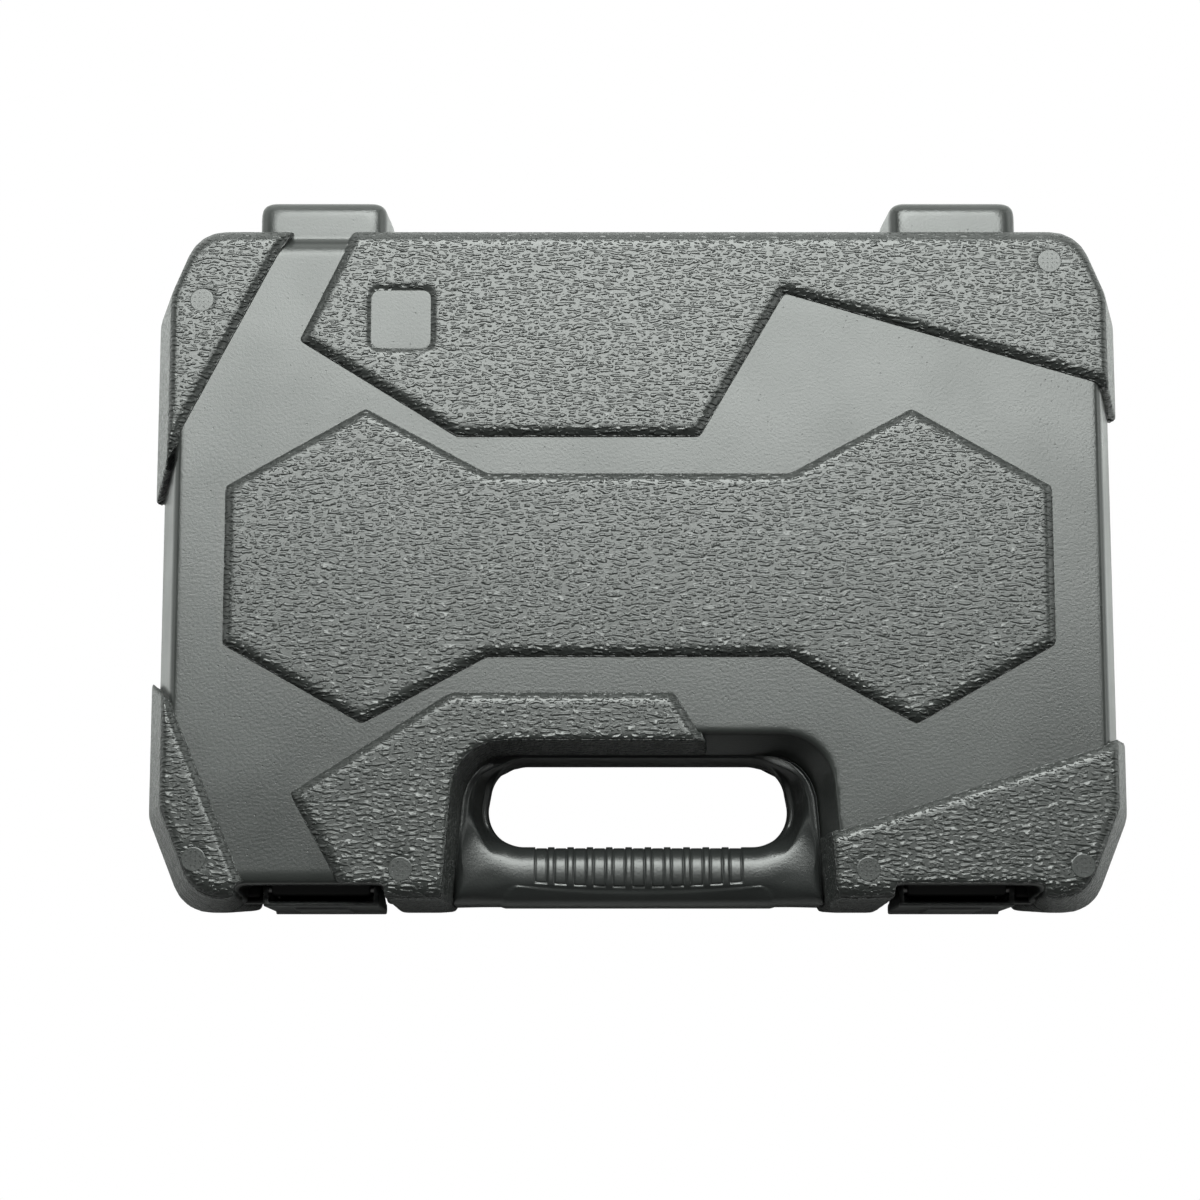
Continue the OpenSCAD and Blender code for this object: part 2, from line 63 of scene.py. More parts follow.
coarse = 1.0  # larger voxels while trying things
sharpAngle = math.radians(30)  # edges that turn more than this stay crisp


class Shader:
    def __init__(self, name):
        self.material = bpy.data.materials.new(name)
        self.material.use_nodes = True
        self.tree = self.material.node_tree
        self.surface = self.tree.nodes["Principled BSDF"]
        coordinates = self.add("ShaderNodeTexCoord")
        self.place, self.facing = coordinates.outputs["Object"], coordinates.outputs["Normal"]

    def add(self, kind, inputs=None, **settings):
        node = self.tree.nodes.new(kind)
        for key, value in settings.items():
            setattr(node, key, value)
        for key, value in (inputs or {}).items():
            self.put(node.inputs[key], value)
        return node

    def put(self, socket, value):
        if isinstance(value, bpy.types.NodeSocket):
            self.tree.links.new(value, socket)
        else:
            socket.default_value = value

    def calc(self, operation, a, b=0.0, c=0.0):
        node = self.add("ShaderNodeMath", operation=operation)
        for socket, value in zip(node.inputs, (a, b, c)):
            self.put(socket, value)
        return node.outputs[0]

    def spread(self, value, low, high, to0=0.0, to1=1.0):
        node = self.add("ShaderNodeMapRange", {"Value": value, "From Min": low, "From Max": high,
                                               "To Min": to0, "To Max": to1}, interpolation_type="SMOOTHSTEP")
        return node.outputs[0]

    def scaled(self, x, y, z):
        return self.add("ShaderNodeMapping", {"Vector": self.place, "Scale": (x, y, z)}).outputs[0]

    def inMm(self):
        return self.scaled(1000, 1000, 1000)

    def joined(self, x, y, z=0.0):
        return self.add("ShaderNodeCombineXYZ", {"X": x, "Y": y, "Z": z}).outputs[0]

    def noise(self, vector, scale=1.0, detail=2.0, rough=0.5, twist=0.0):
        node = self.add("ShaderNodeTexNoise", {"Vector": vector, "Scale": scale, "Detail": detail,
                                               "Roughness": rough, "Distortion": twist})
        return node.outputs[0]

    def bump(self, height, distance, strength=1.0, before=None):
        node = self.add("ShaderNodeBump", {"Height": height, "Distance": distance, "Strength": strength})
        if before is not None:
            self.put(node.inputs["Normal"], before)
        return node.outputs[0]

    def mix(self, share, a, b):
        node = self.add("ShaderNodeMix", data_type="RGBA")
        self.put(node.inputs[0], share)
        self.put(node.inputs[6], a)
        self.put(node.inputs[7], b)
        return node.outputs[2]


finish = {
    "skinColour": (0.0185, 0.02, 0.019, 1),
    "skinRoughness": 0.3,
    "trimColour": (0.015, 0.0162, 0.0158, 1),
    "trimRoughness": 0.33,
    "latchColour": (0.022, 0.0236, 0.023, 1),
    "latchRoughness": 0.42,
    "linerColour": (0.018, 0.0195, 0.019, 1),
    "linerRoughness": 0.5,
    "steelColour": (0.55, 0.55, 0.54, 1),
    "lighter": 1.12,      # the tones of one plastic, as shares of its colour; the pits' tone is painted shade
    "darker": 0.9,
    "pitPaintedShade": 0.6,
}

# the finely blasted mould finish; depths in mm, the others are noise scales per mm
blast = {
    "skinDust": 0.022,    # depth of the dust-like bumps
    "trimDust": 0.02,
    "grainDust": 0.012,
    "dust": 2.6,
    "mottle": 1.0,
    "mottleDepth": 2.8,   # as a share of the dust's depth
    "skinPits": 0.05,
    "grainPits": 0.01,
    "pitCells": 0.42,
    "pitEdge": (0.06, 0.14),
    "pitPatches": 0.11,
    "pitShare": (0.5, 0.6),
    "clouds": 0.03,       # slow changes of tone and gloss
}

# the grain: broken, wavy rows of low bars with sloping edges, steeper in front; lengths in mm
grain = {
    "rowPitch": 1.8,
    "patch": 2.5,         # a stroke keeps its run over about this length
    "squeeze": 1.25,      # a patch is this much longer along the rows than across them
    "straight": 0.84,     # 1 lines all strokes up with the rows
    "front": (0.03, 0.3),  # where a bar rises, as shares of a row
    "back": (0.45, 0.88),  # and where it falls again
    "faint": 0.1,         # strokes fainter than this are left out
    "faintEdge": 0.08,
    "breaks": 0.46,       # more of the row is left out as this rises
    "breakEdge": 0.035,
    "breakScale": (0.44, 0.75),  # along and across the rows
    "depth": 0.3,
    "sides": 1.8,         # how much deeper the grain is on the walls
    "lumps": 2.2,         # the coarser lumps on the walls, as shares of the depth
    "lumpScale": (0.75, 0.3),    # along and up the wall
    "wallToTop": (0.4, 0.55),    # where the walls' grain gives way to the top's
    "colour": (0.0185, 0.02, 0.019, 1),
    "roughness": 0.3,
}


def blasted(shader, before=None, fine=blast["skinDust"], pits=blast["skinPits"]):
    # dust-like bumps, a slight mottle and a few small pits
    place = shader.inMm()
    normal = shader.bump(shader.noise(place, blast["dust"], 2.0, 0.6), fine * mm, before=before)
    mottle = shader.noise(place, blast["mottle"], 2.0, 0.6)
    normal = shader.bump(mottle, fine * blast["mottleDepth"] * mm, before=normal)
    cells = shader.add("ShaderNodeTexVoronoi", {"Vector": place, "Scale": blast["pitCells"]}, feature="F1")
    small = shader.spread(cells.outputs["Distance"], *blast["pitEdge"], 1, 0)
    chance = shader.spread(shader.noise(place, blast["pitPatches"], 1.0), *blast["pitShare"])
    pitAndPaintedShade = shader.calc("MULTIPLY", small, chance)
    # the pit's shape goes into the bump, and back out as the mask of the painted shade in the pits
    return shader.bump(shader.calc("SUBTRACT", 1.0, pitAndPaintedShade), pits * mm, before=normal), pitAndPaintedShade


def toned(colour, share):
    return tuple(min(1, c * share) for c in colour[:3]) + (1,)


def smoothPlastic(name, colour, roughness, fine=blast["skinDust"]):
    s = Shader(name)
    normal, pitAndPaintedShade = blasted(s, fine=fine)
    cloud = s.noise(s.inMm(), blast["clouds"], 3.0)
    tone = s.mix(s.spread(cloud, 0.3, 0.7), toned(colour, finish["darker"]), toned(colour, finish["lighter"]))
    # the pits are painted darker: painted shade in the small recesses
    s.put(s.surface.inputs["Base Color"], s.mix(pitAndPaintedShade, tone, toned(colour, finish["pitPaintedShade"])))
    s.put(s.surface.inputs["Roughness"], s.spread(cloud, 0.25, 0.75, roughness - 0.03, roughness + 0.04))
    s.put(s.surface.inputs["Normal"], normal)
    return s.material


def grainBars(s, along, over):
    # bars across "over", each running along "along"
    place = s.joined(along, s.calc("MULTIPLY", over, grain["squeeze"]))
    waves = s.add("ShaderNodeTexGabor", {"Vector": place, "Scale": 1 / grain["patch"],
                                         "Frequency": grain["patch"] / grain["rowPitch"] / grain["squeeze"],
                                         "Anisotropy": grain["straight"], "Orientation": math.pi / 2},
                  gabor_type="2D").outputs
    phase = waves["Phase"]
    bar = s.calc("MULTIPLY", s.spread(phase, *grain["front"]), s.spread(phase, *grain["back"], 1, 0))
    strong = s.spread(waves["Intensity"], grain["faint"], grain["faint"] + grain["faintEdge"])
    alongRow, acrossRow = grain["breakScale"]
    run = s.noise(s.joined(s.calc("MULTIPLY", along, alongRow), s.calc("MULTIPLY", over, acrossRow), 4.0),
                  1.0, 1.0)
    whole = s.spread(run, grain["breaks"] - grain["breakEdge"], grain["breaks"] + grain["breakEdge"])
    return s.calc("MULTIPLY", bar, s.calc("MULTIPLY", strong, whole))


def grainedPlastic(name):
    s = Shader(name)
    where = s.add("ShaderNodeSeparateXYZ", {"Vector": s.inMm()}).outputs
    facing = s.add("ShaderNodeSeparateXYZ", {"Vector": s.facing}).outputs
    onTop = grainBars(s, where["X"], where["Y"])
    onSides = grainBars(s, s.calc("ADD", where["X"], where["Y"]), where["Z"])
    level = s.spread(s.calc("ABSOLUTE", facing["Z"]), *grain["wallToTop"])
    acrossWall = s.calc("SUBTRACT", where["X"], where["Y"])
    wide, high = grain["lumpScale"]
    lumps = s.noise(s.joined(s.calc("MULTIPLY", where["X"], wide), s.calc("MULTIPLY", acrossWall, wide),
                             s.calc("MULTIPLY", where["Z"], high)), 1.0, 2.0)
    onSides = s.calc("MULTIPLY_ADD", onSides, grain["sides"], s.calc("MULTIPLY", lumps, grain["lumps"]))
    bars = s.calc("MULTIPLY_ADD", s.calc("SUBTRACT", onTop, onSides), level, onSides)
    normal = s.bump(bars, grain["depth"] * mm)
    normal, _ = blasted(s, before=normal, fine=blast["grainDust"], pits=blast["grainPits"])
    s.put(s.surface.inputs["Base Color"], grain["colour"])
    s.put(s.surface.inputs["Roughness"], grain["roughness"])
    s.put(s.surface.inputs["Normal"], normal)
    return s.material


def brushedSteel(name):
    s = Shader(name)
    lines = s.noise(s.scaled(300, 6000, 6000), 1.0, 2.0)
    s.put(s.surface.inputs["Base Color"], finish["steelColour"])
    s.put(s.surface.inputs["Metallic"], 1.0)
    s.put(s.surface.inputs["Roughness"], s.spread(lines, 0.3, 0.7, 0.25, 0.4))
    s.put(s.surface.inputs["Normal"], s.bump(lines, 0.01 * mm))
    return s.material


skinFinish = smoothPlastic("blasted_skin", finish["skinColour"], finish["skinRoughness"])
grainFinish = grainedPlastic("moulded_grain")
trimFinish = smoothPlastic("smooth_trim", finish["trimColour"], finish["trimRoughness"], blast["trimDust"])
latchFinish = smoothPlastic("satin_latch", finish["latchColour"], finish["latchRoughness"], blast["trimDust"])
linerFinish = smoothPlastic("satin_liner", finish["linerColour"], finish["linerRoughness"])
steelFinish = brushedSteel("drawn_steel")
print("finishes are made")


def newPiece(name, mesh, body, slotName, material, *stands):
    piece = bpy.data.objects.new(name, mesh)
    bpy.context.scene.collection.objects.link(piece)
    mesh.materials.clear()
    mesh.materials.append(material)
    mesh.shade_smooth()
    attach(piece, body)
    if stands:
        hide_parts(*stands)
    return piece


def tidied(bm, name):
    mesh = bpy.data.meshes.new(name)
    bmesh.ops.recalc_face_normals(bm, faces=bm.faces)
    bm.to_mesh(mesh)
    bm.free()
    return mesh


def joinRings(bm, rings):
    for a, b in zip(rings, rings[1:]):
        for k in range(len(a)):
            n = (k + 1) % len(a)
            bm.faces.new((a[k], a[n], b[n], b[k]))


def softened(nodeName, voxel, rounds, keep=1.0):
    # the CAD solid remade in small voxels and smoothed, as a blow-moulded skin is
    bm = bmesh.new()
    bm.from_mesh(nodes[nodeName].data)
    bmesh.ops.remove_doubles(bm, verts=bm.verts, dist=1e-6)
    helper = bpy.data.objects.new("helper", tidied(bm, "helper"))
    bpy.context.scene.collection.objects.link(helper)
    remesh = helper.modifiers.new("remesh", "REMESH")
    remesh.mode = "VOXEL"
    remesh.voxel_size = voxel * coarse * mm
    smooth = helper.modifiers.new("smooth", "SMOOTH")
    smooth.iterations = rounds
    smooth.factor = 0.5
    if keep < 1:
        helper.modifiers.new("thin_out", "DECIMATE").ratio = keep
    depsgraph = bpy.context.evaluated_depsgraph_get()
    mesh = bpy.data.meshes.new_from_object(helper.evaluated_get(depsgraph))
    mesh.name = nodeName + "_soft"
    bpy.data.objects.remove(helper)
    return mesh


def pointsOf(mesh):
    co = np.empty(len(mesh.vertices) * 3)
    mesh.vertices.foreach_get("co", co)
    return co.reshape(-1, 3)


def setPoints(mesh, co):
    mesh.vertices.foreach_set("co", co.ravel())
    mesh.update()


def kept(mesh, nodeName):
    # nothing leaves the CAD solid's own box
    low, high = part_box(nodeName)
    setPoints(mesh, np.clip(pointsOf(mesh), low, high))
    return mesh


def sunk(mesh, skinNode, depth, reach):
    # the foot of a panel goes into the skin, so that it meets it in a crisp line
    skin = nodes[skinNode].data
    tree = BVHTree.FromPolygons([v.co for v in skin.vertices], [p.vertices for p in skin.polygons])
    co = pointsOf(mesh)
    for i, p in enumerate(co):
        hit, normal, _, distance = tree.find_nearest(Vector(p), reach)
        if hit is not None:
            share = 1 - distance / reach
            co[i] -= np.array(normal) * depth * share * share * (3 - 2 * share)
    setPoints(mesh, co)
    return mesh


def lathed(profile, steps, name):
    bm = bmesh.new()
    ring = [bm.verts.new((r * mm, 0, z * mm)) for r, z in profile]
    edges = [bm.edges.new((a, b)) for a, b in zip(ring, ring[1:])]
    bmesh.ops.spin(bm, geom=ring + edges, cent=(0, 0, 0), axis=(0, 0, 1), angle=2 * math.pi, steps=steps)
    bmesh.ops.remove_doubles(bm, verts=bm.verts, dist=1e-7)
    return tidied(bm, name)


feet = {
    "innerStart": 65.5, "innerEnd": 74, "innerDepth": 3.6,
    "outerStart": 79, "outerEnd": 89, "outerDepth": 3.8,
    "front": -127, "behind": -118, "skinDeeper": 0.35,
}


def footRounded(mesh, deeper=0.0):
    # the two feet beside the handle end in round corners
    co = pointsOf(mesh) / mm
    x = np.abs(co[:, 0])
    inner = np.clip((feet["innerEnd"] - x) / (feet["innerEnd"] - feet["innerStart"]), 0, 1)
    outer = np.clip((x - feet["outerStart"]) / (feet["outerEnd"] - feet["outerStart"]), 0, 1)
    back = feet["innerDepth"] * (1 - np.sqrt(1 - inner ** 2))
    back += feet["outerDepth"] * (1 - np.sqrt(1 - outer ** 2))
    nearby = (x > feet["innerStart"] - 0.5) & (x < feet["outerEnd"]) & (co[:, 1] < feet["behind"])
    co[nearby, 1] = np.maximum(co[nearby, 1], (feet["front"] + back + deeper)[nearby])
    setPoints(mesh, co * mm)
    return mesh


shellBuild = {"voxel": 1.0, "rounds": 12, "keep": 0.3}
linerBuild = {"voxel": 1.2, "rounds": 8, "keep": 0.4}
panelBuild = {"voxel": 0.8, "rounds": 10, "sink": 1.2, "reach": 1.1}
latchBuild = {"voxel": 0.4, "rounds": 4}
panelNames = ["centre", "rear", "rear_corner", "front_corner", "handle", "latch"]

for body in ("base", "lid"):
    shell = body + "_shell"
    mesh = kept(softened(shell, **shellBuild), shell)
    footRounded(mesh, feet["skinDeeper"])
    newPiece(body + "_skin", mesh, body, "skin", skinFinish, shell)
    liner = body + "_liner"
    mesh = kept(softened(liner, **linerBuild), liner)
    newPiece(body + "_inner_skin", mesh, body, "liner", linerFinish, liner)
    for panel in panelNames:
        node = body + "_panel_" + panel
        mesh = kept(softened(node, panelBuild["voxel"], panelBuild["rounds"]), node)
        if panel in ("handle", "latch"):
            footRounded(mesh)
        mesh = sunk(mesh, shell, panelBuild["sink"] * mm, panelBuild["reach"] * mm)
        newPiece(node + "_grained", mesh, body, "grain", grainFinish, node)
    print(body, "skin, liner and panels are made")

for hand in ("left", "right"):
    node = "latch_" + hand
    mesh = kept(softened(node, **latchBuild), node)
    newPiece(node + "_clip", mesh, node, "latch", latchFinish, node)

# the catches deep in the channels, each with a low rib on its slope; [y, height]
catchBuild = {
    "bar": [(-116.6, 30.4), (-122.1, 30.4), (-122.4, 30.7), (-122.4, 31.9),
            (-122.1, 32.3), (-117, 34), (-116.6, 34)],
    "rib": [(-118.6, 33), (-120.6, 32.5), (-120.5, 33), (-120.2, 33.3), (-118.9, 33.7), (-118.6, 33.6)],
    "barHalf": 18.25, "ribHalf": 8, "place": 111.5,
}


def extruded(profile, half, name, chamfer=0.3, drawnIn=0.9):
    # a [y, height] profile drawn out along x, its ends drawn in a little
    bm = bmesh.new()
    middle = np.mean(profile, axis=0)
    rings = []
    for x, shrink in ((-half, drawnIn), (-half + chamfer, 1), (half - chamfer, 1), (half, drawnIn)):
        ring = [middle + (np.array(p) - middle) * shrink for p in profile]
        rings.append([bm.verts.new((x * mm, *(point * mm))) for point in ring])
    joinRings(bm, rings)
    bm.faces.new(rings[0])
    bm.faces.new(rings[-1][::-1])
    return tidied(bm, name)


for hand, side in (("left", -1), ("right", 1)):
    for part in ("bar", "rib"):
        name = "base_catch_" + part + "_" + hand
        mesh = extruded(catchBuild[part], catchBuild[part + "Half"], name)
        mesh.transform(Matrix.Translation((side * catchBuild["place"] * mm, 0, 0)))
        piece = newPiece(name, mesh, "base", "skin", skinFinish)
        piece.data.set_sharp_from_angle(angle=sharpAngle)
print("latches and catches are made")

pinBuild = {"chamfer": 0.35, "dome": 0.12, "steps": 48}

for kind, body in (("hinge", "base"), ("latch", "lid")):
    for hand in ("left", "right"):
        node = kind + "_pin_" + hand
        low, high = (np.array(corner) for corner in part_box(node))
        length, r = (high[0] - low[0]) / mm, (high[2] - low[2]) / mm / 2
        cut, dome = pinBuild["chamfer"], pinBuild["dome"]
        end = [(r, length / 2 - cut), (r - cut, length / 2 - dome),
               (r * 0.4, length / 2 - 0.02), (0, length / 2)]
        profile = [(a, -z) for a, z in reversed(end)] + end
        mesh = lathed(profile, pinBuild["steps"], node + "_wire")
        mesh.transform(Matrix.Translation((low + high) / 2) @ Matrix.Rotation(math.pi / 2, 4, "Y"))
        piece = newPiece(node + "_wire", kept(mesh, node), body, "pin_steel", steelFinish, node)
        piece.data.set_sharp_from_angle(angle=sharpAngle)
print("pins are made")

grip = {
    "frontHalf": 56.3, "backHalf": 50.7, "openingFront": -103.9, "openingBack": -73.3, "corner": 13,
    "cutFront": 66, "cutBack": 61.5, "cutDepth": (-124.6, -72.1), "cutCorner": 18,
    "arcSteps": (70, 30),  # at the front and the back corners of the opening
    "bottom": 0.2,         # where a section starts, above the parting plane
}

# the front of the grip; the pads' edges are bowed: y in the middle, rise, at which x
pads = {
    "pitch": 6.9, "half": 2.2, "count": 11, "depth": 0.38, "outline": 0.3, "edge": (-119.0, 1.5, 34.5),
    "lowerHalf": 45.5, "lowerRise": 0.5, "lowerEdge": (-120.4, 2.5, 45), "lowerFlare": 0.45,
    "flareFrom": -118, "lowerCorner": 3, "lowerCornerDepth": 2.2,
}

# one section of the moulding on each side of the opening: [part of the way across, mm across, height]
gripSection = [(0, 0, 0.2), (0, 0, 4), (0, 0.05, 8), (0, 0.7, 11.6), (0, 2.7, 14.6), (0, 5.6, 16.4),
               (0, 9, 17), (0, 13, 16.8), (1, -5.5, 15.7), (1, -1.4, 12.4), (1, 0, 7), (1, 0, 0.2)]
armSection = [(0, 0, 0.2), (0, 0.1, 2.4), (0, 0.8, 3.6), (0, 2.4, 4.5), (0, 3.3, 8), (0, 4.5, 14),
              (0, 5.3, 16.6), (1, -2.8, 18.6), (1, -1.5, 19.3), (1, -0.7, 19.4), (1, 0.4, 19.2),
              (1, 0.4, 0.2)]
collarSection = [(0, 0, 0.2), (0, 0, 5), (0, 0.05, 9), (0, 0.1, 12), (0, 0.15, 14), (0, 0.25, 15.5),
                 (0, 0.45, 16.4), (0, 0.8, 16.9), (1, 0, 17), (1, 0.2, 17), (1, 0.4, 16.5), (1, 0.4, 0.2)]


def eased(value, low, high):
    t = np.clip((np.asarray(value, float) - low) / (high - low), 0, 1)
    return t * t * (3 - 2 * t)


def roundedPath(corners, radii, steps):
    # a closed anticlockwise outline with an arc in place of each corner
    path = []
    for i, corner in enumerate(corners):
        here, before, after = (np.array(corners[k % len(corners)], float) for k in (i, i - 1, i + 1))
        u, v = here - before, after - here
        u, v = u / np.linalg.norm(u), v / np.linalg.norm(v)
        turn = math.atan2(u[0] * v[1] - u[1] * v[0], u @ v)
        centre = here - u * radii[i] * math.tan(turn / 2) + np.array([-u[1], u[0]]) * radii[i]
        first = math.atan2(u[1], u[0]) - math.pi / 2
        for k in range(steps[i] + 1):
            a = first + turn * k / steps[i]
            path.append((*(centre + radii[i] * np.array([math.cos(a), math.sin(a)])), a))
    return path


def across(point, angle, outline):
    # how far it is from a point of the opening to the outer edge of the moulding
    d = np.array([math.cos(angle), math.sin(angle)])
    best = 1e9
    for a, b in zip(outline, outline[1:] + outline[:1]):
        e = np.array(b[:2]) - np.array(a[:2])
        w = np.array(a[:2]) - np.array(point[:2])
        det = d[1] * e[0] - d[0] * e[1]
        if abs(det) > 1e-9:
            t = (w[1] * e[0] - w[0] * e[1]) / det
            share = (d[0] * w[1] - d[1] * w[0]) / det
            if t > 0 and -1e-6 <= share <= 1 + 1e-6:
                best = min(best, t)
    return best


def sectionAt(angle, width):
    # the section for a direction away from the opening, blended from the three
    turned = math.degrees(abs((angle + math.pi / 2 + math.pi) % (2 * math.pi) - math.pi))
    arm, rear = float(eased(turned, 20, 72)), float(eased(turned, 108, 165))
    sections = (gripSection, armSection, collarSection)
    keys = [np.array([[k[0] * width + k[1], k[2]] for k in section]) for section in sections]
    key = keys[0] * (1 - arm) + keys[1] * arm * (1 - rear) + keys[2] * arm * rear
    points = []
    for i in range(len(key) - 1):
        p0, p1, p2, p3 = (key[min(max(k, 0), len(key) - 1)] for k in (i - 1, i, i + 1, i + 2))
        if i in (0, len(key) - 2):
            p0, p3 = 2 * p1 - p2, 2 * p2 - p1
        for k in range(9):
            t = k / 9
            points.append(0.5 * (2 * p1 + (p2 - p0) * t + (2 * p0 - 5 * p1 + 4 * p2 - p3) * t * t
                                 + (3 * p1 - p0 - 3 * p2 + p3) * t ** 3))
    return np.array(points + [key[-1]])


def openingPath():
    # round the opening, with closer steps where the finger pads begin and end
    g = grip
    corners = [(-g["frontHalf"], g["openingFront"]), (g["frontHalf"], g["openingFront"]),
               (g["backHalf"], g["openingBack"]), (-g["backHalf"], g["openingBack"])]
    frontSteps, backSteps = g["arcSteps"]
    arcs = roundedPath(corners, [g["corner"]] * 4, [frontSteps] * 2 + [backSteps] * 2)
    first, second = arcs[frontSteps], arcs[frontSteps + 1]
    middlePad = (pads["count"] - 1) / 2
    stops = []
    for i in range(pads["count"]):
        middle = (i - middlePad) * pads["pitch"]
        left, right = middle - pads["half"] - 0.15, middle + pads["half"] + 0.15
        stops += list(np.linspace(left, left + 0.6, 5)) + list(np.linspace(left + 1.1, right - 1.1, 4))
        stops += list(np.linspace(right - 0.6, right, 5)) + [right + 0.8, right + 1.4]
    stops = [x for x in stops if first[0] + 0.5 < x < second[0] - 0.5]
    stops = list(np.arange(first[0] + 0.6, stops[0] - 0.3, 0.7)) + stops
    stops += list(np.arange(stops[-1] + 0.7, second[0] - 0.3, 0.7))
    straight = [(x, first[1], -math.pi / 2) for x in stops]
    return arcs[:frontSteps + 1] + straight + arcs[frontSteps + 1:]


def bowed(edge, x):
    middle, rise, reach = edge
    return middle + rise * (x / reach) ** 2


def padLift(px, py):
    # how far the grip's front stands out: below 0 in the finger pads, above it on the lower pad
    lastPad = (pads["count"] - 1) / 2 * pads["pitch"]
    nearest = np.round(px / pads["pitch"]) * pads["pitch"]
    off = np.abs(px - nearest)
    inPad = (1 - eased(off, pads["half"] - 0.05, pads["half"] + 0.15)) * (np.abs(nearest) < lastPad + 0.5)
    edge = bowed(pads["edge"], px)
    inPad *= eased(py, edge, edge + 0.3)
    rim = eased(off, pads["half"] - 0.5, pads["half"] - 0.15) + (1 - eased(py, edge + 0.3, edge + 0.7))
    sunkBy = inPad * (pads["depth"] + pads["outline"] * np.minimum(rim, 1))
    half = pads["lowerHalf"] + pads["lowerFlare"] * (pads["flareFrom"] - py)
    intoCorner = np.clip((np.abs(px) - half + pads["lowerCorner"]) / pads["lowerCorner"], 0, 1)
    shore = bowed(pads["lowerEdge"], px) - intoCorner ** 2 * pads["lowerCornerDepth"]
    inLower = 1 - eased(py, shore - 0.25, shore + 0.25)
    inLower *= 1 - eased(np.abs(px), half - 0.25, half + 0.25)
    return inLower * pads["lowerRise"] - sunkBy


def handleMoulding(name, side):
    # one half of the handle, its section swept round the opening
    g = grip
    front, back = g["cutDepth"]
    corners = [(-g["cutFront"], front), (g["cutFront"], front), (g["cutBack"], back), (-g["cutBack"], back)]
    outline = roundedPath(corners, [0.01, 0.01, g["cutCorner"], g["cutCorner"]], [1, 1, 16, 16])
    bm = bmesh.new()
    rows = []
    for x, y, angle in openingPath():
        section = sectionAt(angle, across((x, y), angle, outline))
        step = np.gradient(section, axis=0)
        away = np.stack([-step[:, 1], step[:, 0]], 1)
        away /= np.linalg.norm(away, axis=1)[:, None] + 1e-9
        dx, dy = math.cos(angle), math.sin(angle)
        if angle < -0.2:  # the front, where the pads are
            lift = padLift(x + section[:, 0] * dx, y + section[:, 0] * dy)
            section = section + away * lift[:, None]
        section[0, 1] = section[-1, 1] = g["bottom"]
        rows.append([bm.verts.new(((x + a * dx) * mm, (y + a * dy) * mm, partingPlane + side * z * mm))
                     for a, z in section])
    for i, row in enumerate(rows):
        other = rows[(i + 1) % len(rows)]
        for k in range(len(row)):
            n = (k + 1) % len(row)
            bm.faces.new((row[k], other[k], other[n], row[n]))
    return tidied(bm, name)


for body, side in (("base", -1), ("lid", 1)):
    name = body + "_handle_grip"
    newPiece(name, handleMoulding(name, side), body, "handle", trimFinish, body + "_handle")
print("handle is made")

ventBuild = {
    "radius": 4.25, "dot": 0.32, "pitch": 1.6, "level": 0.12, "thickness": 0.6, "dotDepth": 0.5,
    "dotRows": ((-1.5, 2), (-0.5, 4), (0.5, 4), (1.5, 2)),  # place of a row in pitches, its dots
}
ventSpots = [(-155, 87.4), (146.3, 101.7), (-153.7, -110.7), (-82.4, -114.1), (78.8, -114.1), (152.7, -113)]
plateBuild = {"middle": (-84.2, 80.6), "half": 11.75, "corner": 3.9, "level": 1.0, "thickness": 0.6}


def ventMesh():
    r, t = ventBuild["radius"], ventBuild["thickness"]
    disc = lathed([(0, 0), (r - 0.3, 0), (r - 0.1, -0.06), (r, -0.2), (r, -t), (0, -t)], 64, "vent")
    dots = bmesh.new()
    for row, count in ventBuild["dotRows"]:
        for k in range(count):
            place = Matrix.Translation(((k - (count - 1) / 2) * ventBuild["pitch"] * mm,
                                        row * ventBuild["pitch"] * mm, 0))
            bmesh.ops.create_cone(dots, cap_ends=True, segments=12, radius1=ventBuild["dot"] * mm,
                                  radius2=ventBuild["dot"] * mm, depth=ventBuild["dotDepth"] * mm,
                                  matrix=place)
    body = bpy.data.objects.new("ventBody", disc)
    holes = bpy.data.objects.new("ventHoles", tidied(dots, "ventHoles"))
    for o in (body, holes):
        bpy.context.scene.collection.objects.link(o)
    cut = body.modifiers.new("dots", "BOOLEAN")
    cut.operation, cut.object = "DIFFERENCE", holes
    mesh = bpy.data.meshes.new_from_object(body.evaluated_get(bpy.context.evaluated_depsgraph_get()))
    bpy.data.objects.remove(body)
    bpy.data.objects.remove(holes)
    mesh.materials.clear()
    mesh.materials.append(skinFinish)
    mesh.shade_flat()
    return mesh


vent = ventMesh()
for body, side in (("base", -1), ("lid", 1)):
    for i, (x, y) in enumerate(ventSpots):
        piece = bpy.data.objects.new(f"{body}_vent_{i + 1}", vent)
        bpy.context.scene.collection.objects.link(piece)
        piece.location = (x * mm, y * mm, partingPlane + side * (halfHeight - ventBuild["level"]) * mm)
        piece.rotation_euler = (0 if side > 0 else math.pi, 0, 0)
        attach(piece, body)


def plateMesh(name):
    p = plateBuild
    half = p["half"]
    corners = [(-half, -half), (half, -half), (half, half), (-half, half)]
    outline = roundedPath(corners, [p["corner"]] * 4, [10] * 4)
    bm = bmesh.new()
    rings = []
    for shrink, z in ((0, -p["thickness"]), (0, -0.25), (0.08, -0.08), (0.3, 0), (1.5, 0.02)):
        scale = 1 - shrink / half
        height = (2 * halfHeight - p["level"] + z) * mm
        ring = [(p["middle"][0] + x * scale, p["middle"][1] + y * scale) for x, y, _ in outline]
        rings.append([bm.verts.new((x * mm, y * mm, height)) for x, y in ring])
    joinRings(bm, rings)
    bm.faces.new(rings[-1])
    bm.faces.new(rings[0][::-1])
    return tidied(bm, name)


newPiece("lid_plate_bare", plateMesh("lid_plate_bare"), "lid", "skin", skinFinish)
print("vents and plate are made")

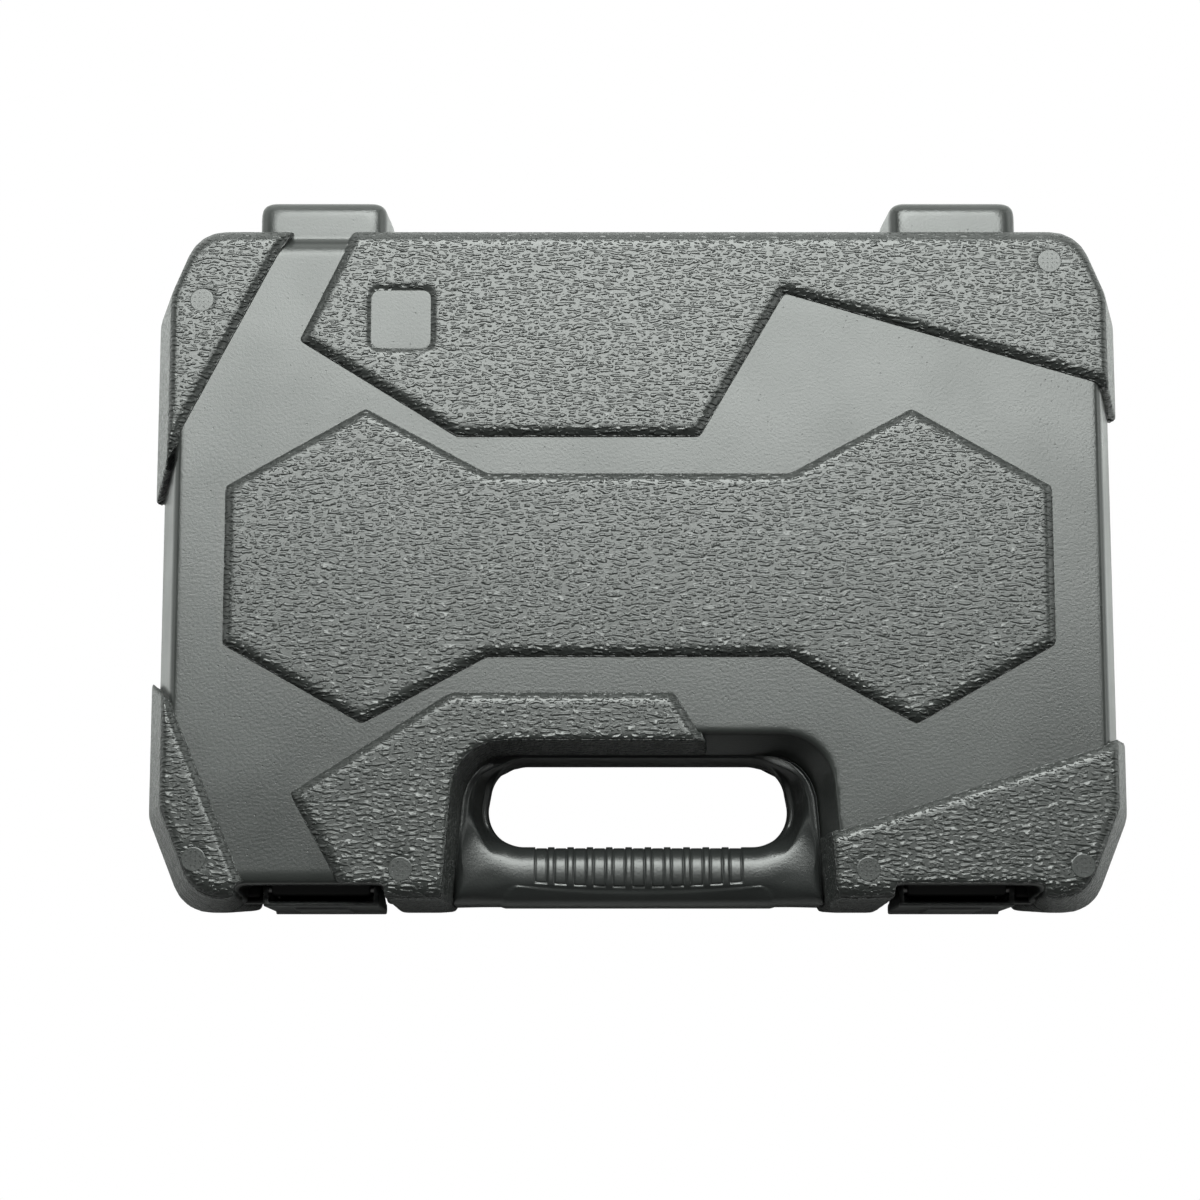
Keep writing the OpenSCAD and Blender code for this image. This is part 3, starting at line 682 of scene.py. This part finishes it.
light = {
    "softbox": {"place": (0.0, 0.75, 1.24), "aim": (0.0, 0.75, 0.0), "size": (1.1, 1.16), "power": 50},
    "core": {"place": (0.0, 0.95, 1.2), "aim": (0.0, 0.3, 0.0), "size": (0.9, 0.45), "power": 6},
    "back": {"place": (0.0, 1.9, 0.5), "aim": (0.0, 0.0, 0.2), "size": (3.0, 0.9), "power": 17},
    "right": {"place": (1.1, 0.25, 0.36), "aim": (0.0, 0.0, 0.1), "size": (1.5, 0.6), "power": 7},
    "left": {"place": (-1.1, 0.25, 0.36), "aim": (0.0, 0.0, 0.1), "size": (1.5, 0.6), "power": 4.5},
    "colour": (0.955, 1.0, 0.965),
    "world": 0.07,
}


def areaLight(name, place, aim, size, power):
    lamp = bpy.data.lights.new(name, "AREA")
    lamp.shape = "RECTANGLE"
    lamp.size, lamp.size_y = size
    lamp.energy = power
    lamp.color = light["colour"]
    holder = bpy.data.objects.new(name, lamp)
    bpy.context.scene.collection.objects.link(holder)
    holder.location = place
    holder.rotation_euler = (Vector(aim) - Vector(place)).to_track_quat("-Z", "Y").to_euler()


for name in ("softbox", "core", "back", "right", "left"):
    areaLight(name, **light[name])


def whiteWorld():
    # white to the camera, and a dim even light on the case
    world = bpy.data.worlds.new("studio")
    bpy.context.scene.world = world
    world.use_nodes = True
    tree = world.node_tree
    tree.nodes.clear()
    out = tree.nodes.new("ShaderNodeOutputWorld")
    mixed = tree.nodes.new("ShaderNodeMixShader")
    for slot, strength in ((1, light["world"]), (2, 1)):
        background = tree.nodes.new("ShaderNodeBackground")
        background.inputs["Color"].default_value = (1, 1, 1, 1)
        background.inputs["Strength"].default_value = strength
        tree.links.new(background.outputs[0], mixed.inputs[slot])
    path = tree.nodes.new("ShaderNodeLightPath")
    tree.links.new(path.outputs["Is Camera Ray"], mixed.inputs[0])
    tree.links.new(mixed.outputs[0], out.inputs["Surface"])


# white to the camera; the tone that the walls mirror is darker in front of the case: painted shadow of the
# case on the floor
floorFacts = {"size": 4, "fade": (-0.16, -0.02), "frontAndBack": (0.26, 0.58), "roughness": 0.9}


def paleFloor():
    bm = bmesh.new()
    bmesh.ops.create_grid(bm, x_segments=1, y_segments=1, size=floorFacts["size"])
    mesh = bpy.data.meshes.new("floor")
    bm.to_mesh(mesh)
    bm.free()
    s = Shader("pale_floor")
    acrossFloor = s.add("ShaderNodeSeparateXYZ", {"Vector": s.place}).outputs["Y"]
    # darker in front of the case: painted shadow of the case, which the walls mirror
    floorToneWithPaintedShadow = s.spread(acrossFloor, *floorFacts["fade"], *floorFacts["frontAndBack"])
    s.put(s.surface.inputs["Base Color"], s.joined(floorToneWithPaintedShadow, floorToneWithPaintedShadow, floorToneWithPaintedShadow))
    s.put(s.surface.inputs["Roughness"], floorFacts["roughness"])
    glow = s.add("ShaderNodeEmission", {"Color": (1, 1, 1, 1), "Strength": 1.0})
    mixed = s.add("ShaderNodeMixShader")
    s.put(mixed.inputs[0], s.add("ShaderNodeLightPath").outputs["Is Camera Ray"])
    s.put(mixed.inputs[1], s.surface.outputs[0])
    s.put(mixed.inputs[2], glow.outputs[0])
    s.put(s.tree.nodes["Material Output"].inputs["Surface"], mixed.outputs[0])
    mesh.materials.append(s.material)
    floor = bpy.data.objects.new("floor", mesh)
    bpy.context.scene.collection.objects.link(floor)
    floor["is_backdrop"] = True


whiteWorld()
paleFloor()

cameraFacts = {"place": (-13.65, -176.4, 1074.7), "tilt": 9.0, "lens": 85.71, "sensor": 36}
camera = bpy.data.objects.new("camera", bpy.data.cameras.new("camera"))
bpy.context.scene.collection.objects.link(camera)
camera.data.lens = cameraFacts["lens"]
camera.data.sensor_width = cameraFacts["sensor"]
camera.location = Vector(cameraFacts["place"]) * mm
camera.rotation_euler = (math.radians(cameraFacts["tilt"]), 0, 0)
bpy.context.scene.camera = camera
bpy.context.scene.view_settings.view_transform = "Standard"
print("stage and camera are set")

low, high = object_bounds()
